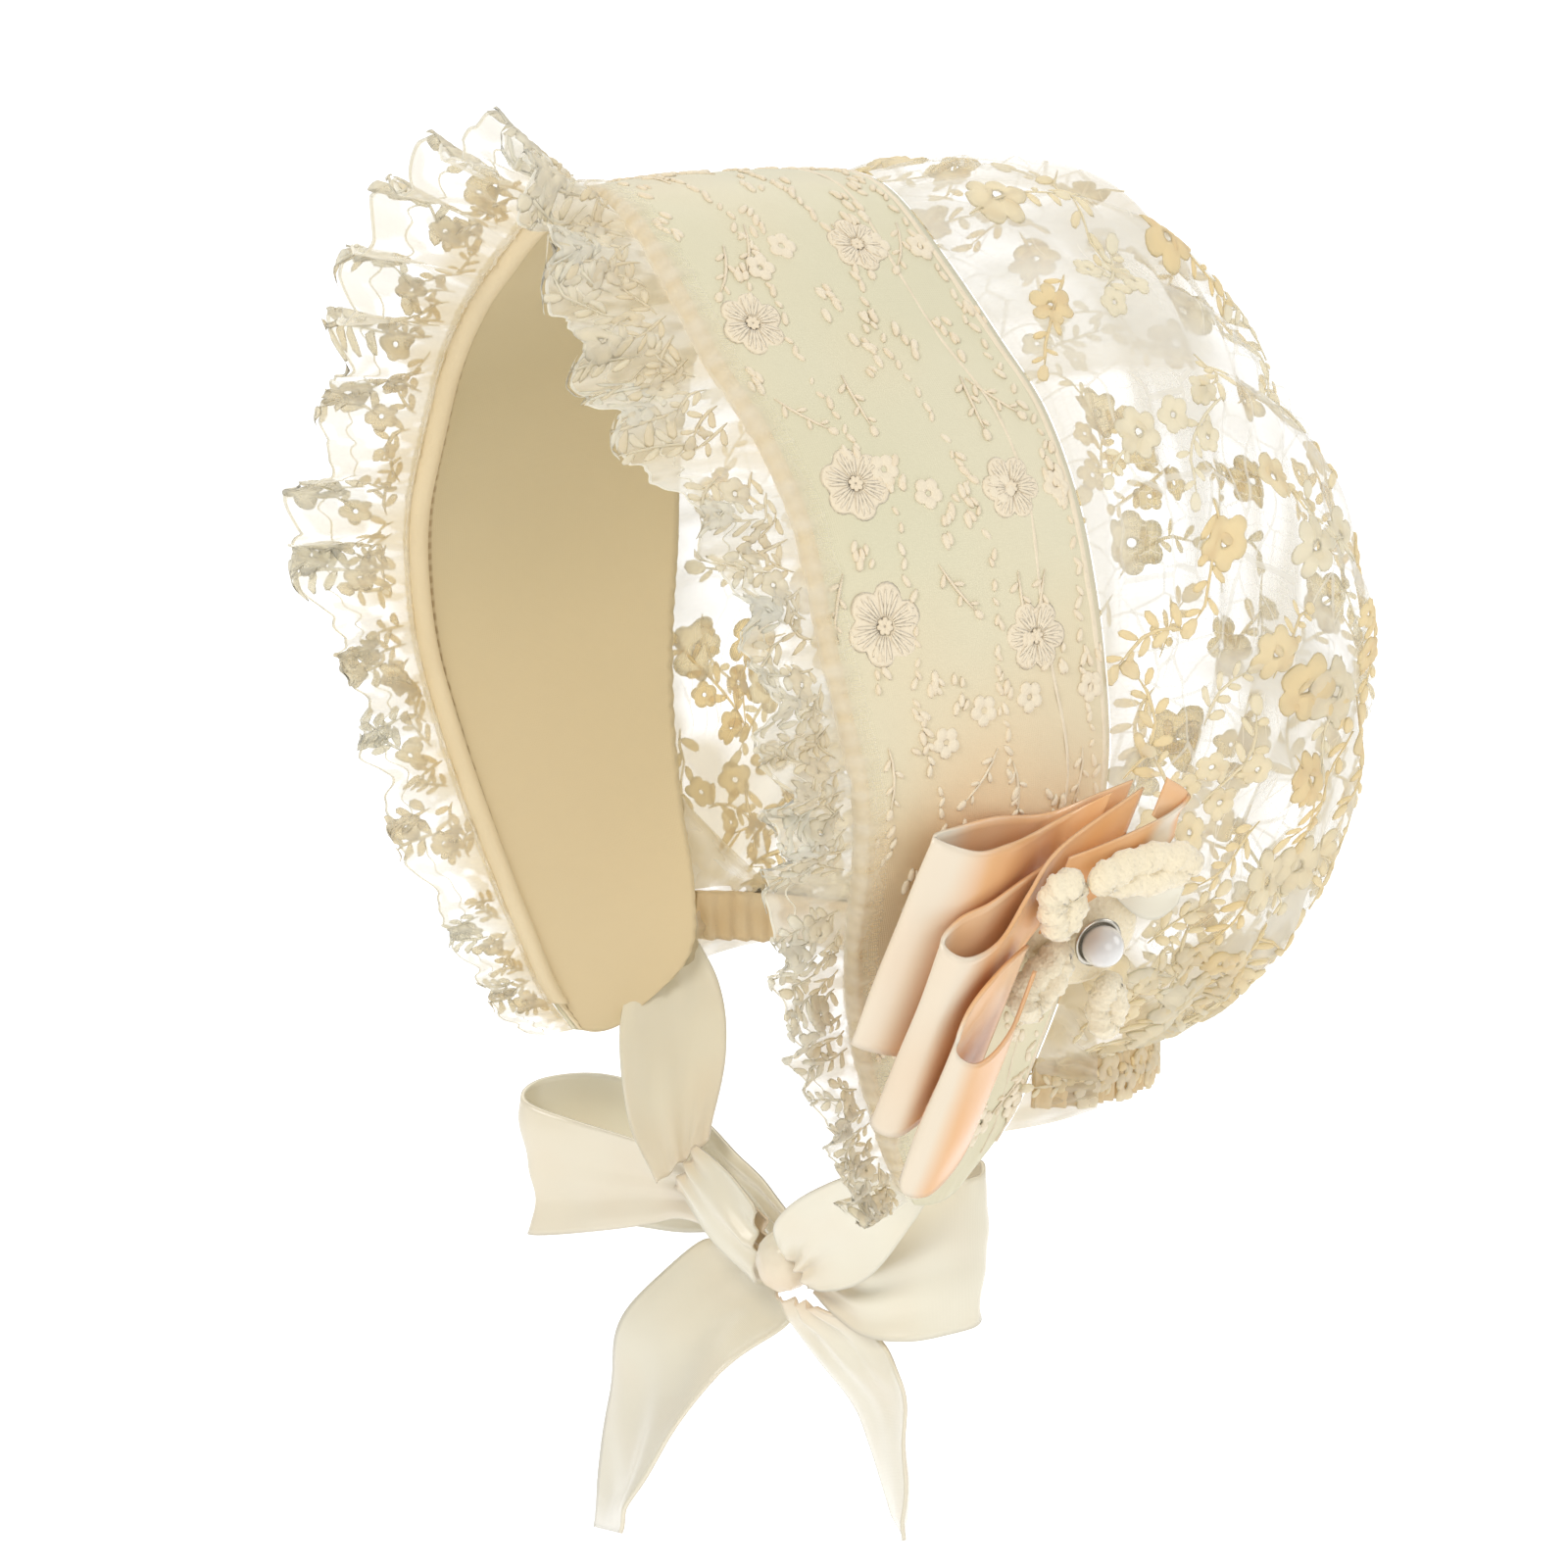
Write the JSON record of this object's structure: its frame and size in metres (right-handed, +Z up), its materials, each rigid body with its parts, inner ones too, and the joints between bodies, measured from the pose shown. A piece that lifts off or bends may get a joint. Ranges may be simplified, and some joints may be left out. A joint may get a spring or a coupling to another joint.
{
  "type": "baby bonnet",
  "caption": "Lined lace baby bonnet with a gathered tulle back, a lace ruffle round the face, satin ties in a bow under the chin and a pleated ribbon flower.",
  "frame": {"origin": "inside of the lining at the top of the head, midway along the band's depth, where the head bears", "axes": "+Z up, the wearer faces -Y, +X is the wearer's left, the side with the pleated ornament"},
  "size_m": [0.1518, 0.1468, 0.2503],
  "materials": {
    "silk_lace": "cream silk with raised cream lace",
    "lace_trim": "cream lace",
    "lining_satin": "warm beige satin",
    "tulle_lace": "clear tulle with cream lace",
    "satin_ribbon": "champagne satin",
    "chenille": "ivory chenille",
    "pearl_bead": "pearl",
    "silver_cup": "polished"
  },
  "bodies": {
    "root": {"back_crown": "tulle_lace", "band_lining": "lining_satin", "band_outer": "silk_lace", "bow_knot": "satin_ribbon", "bow_loop_left": "satin_ribbon", "bow_loop_right": "satin_ribbon", "bow_wrap": "satin_ribbon", "face_binding": "silk_lace", "face_ruffle": "lace_trim", "flower_pad": "chenille", "flower_petal_1": "chenille", "flower_petal_2": "chenille", "flower_petal_3": "chenille", "flower_petal_4": "chenille", "lace_flower_left_1": "lace_trim", "lace_flower_left_2": "lace_trim", "lace_flower_left_3": "lace_trim", "lace_flower_left_4": "lace_trim", "lace_flower_left_5": "lace_trim", "lace_flower_left_6": "lace_trim", "lace_flower_right_1": "lace_trim", "lace_flower_right_2": "lace_trim", "lace_flower_right_3": "lace_trim", "lace_flower_right_4": "lace_trim", "lace_flower_right_5": "lace_trim", "lace_flower_right_6": "lace_trim", "nape_band": "tulle_lace", "pearl": "pearl_bead", "pearl_cup": "silver_cup", "pleat_1": "satin_ribbon", "pleat_2": "satin_ribbon", "pleat_3": "satin_ribbon", "pleat_4": "satin_ribbon", "satin_leaf": "satin_ribbon", "tail_left": "satin_ribbon", "tail_right": "satin_ribbon", "tie_left": "satin_ribbon", "tie_right": "satin_ribbon"}
  },
  "joints": []
}
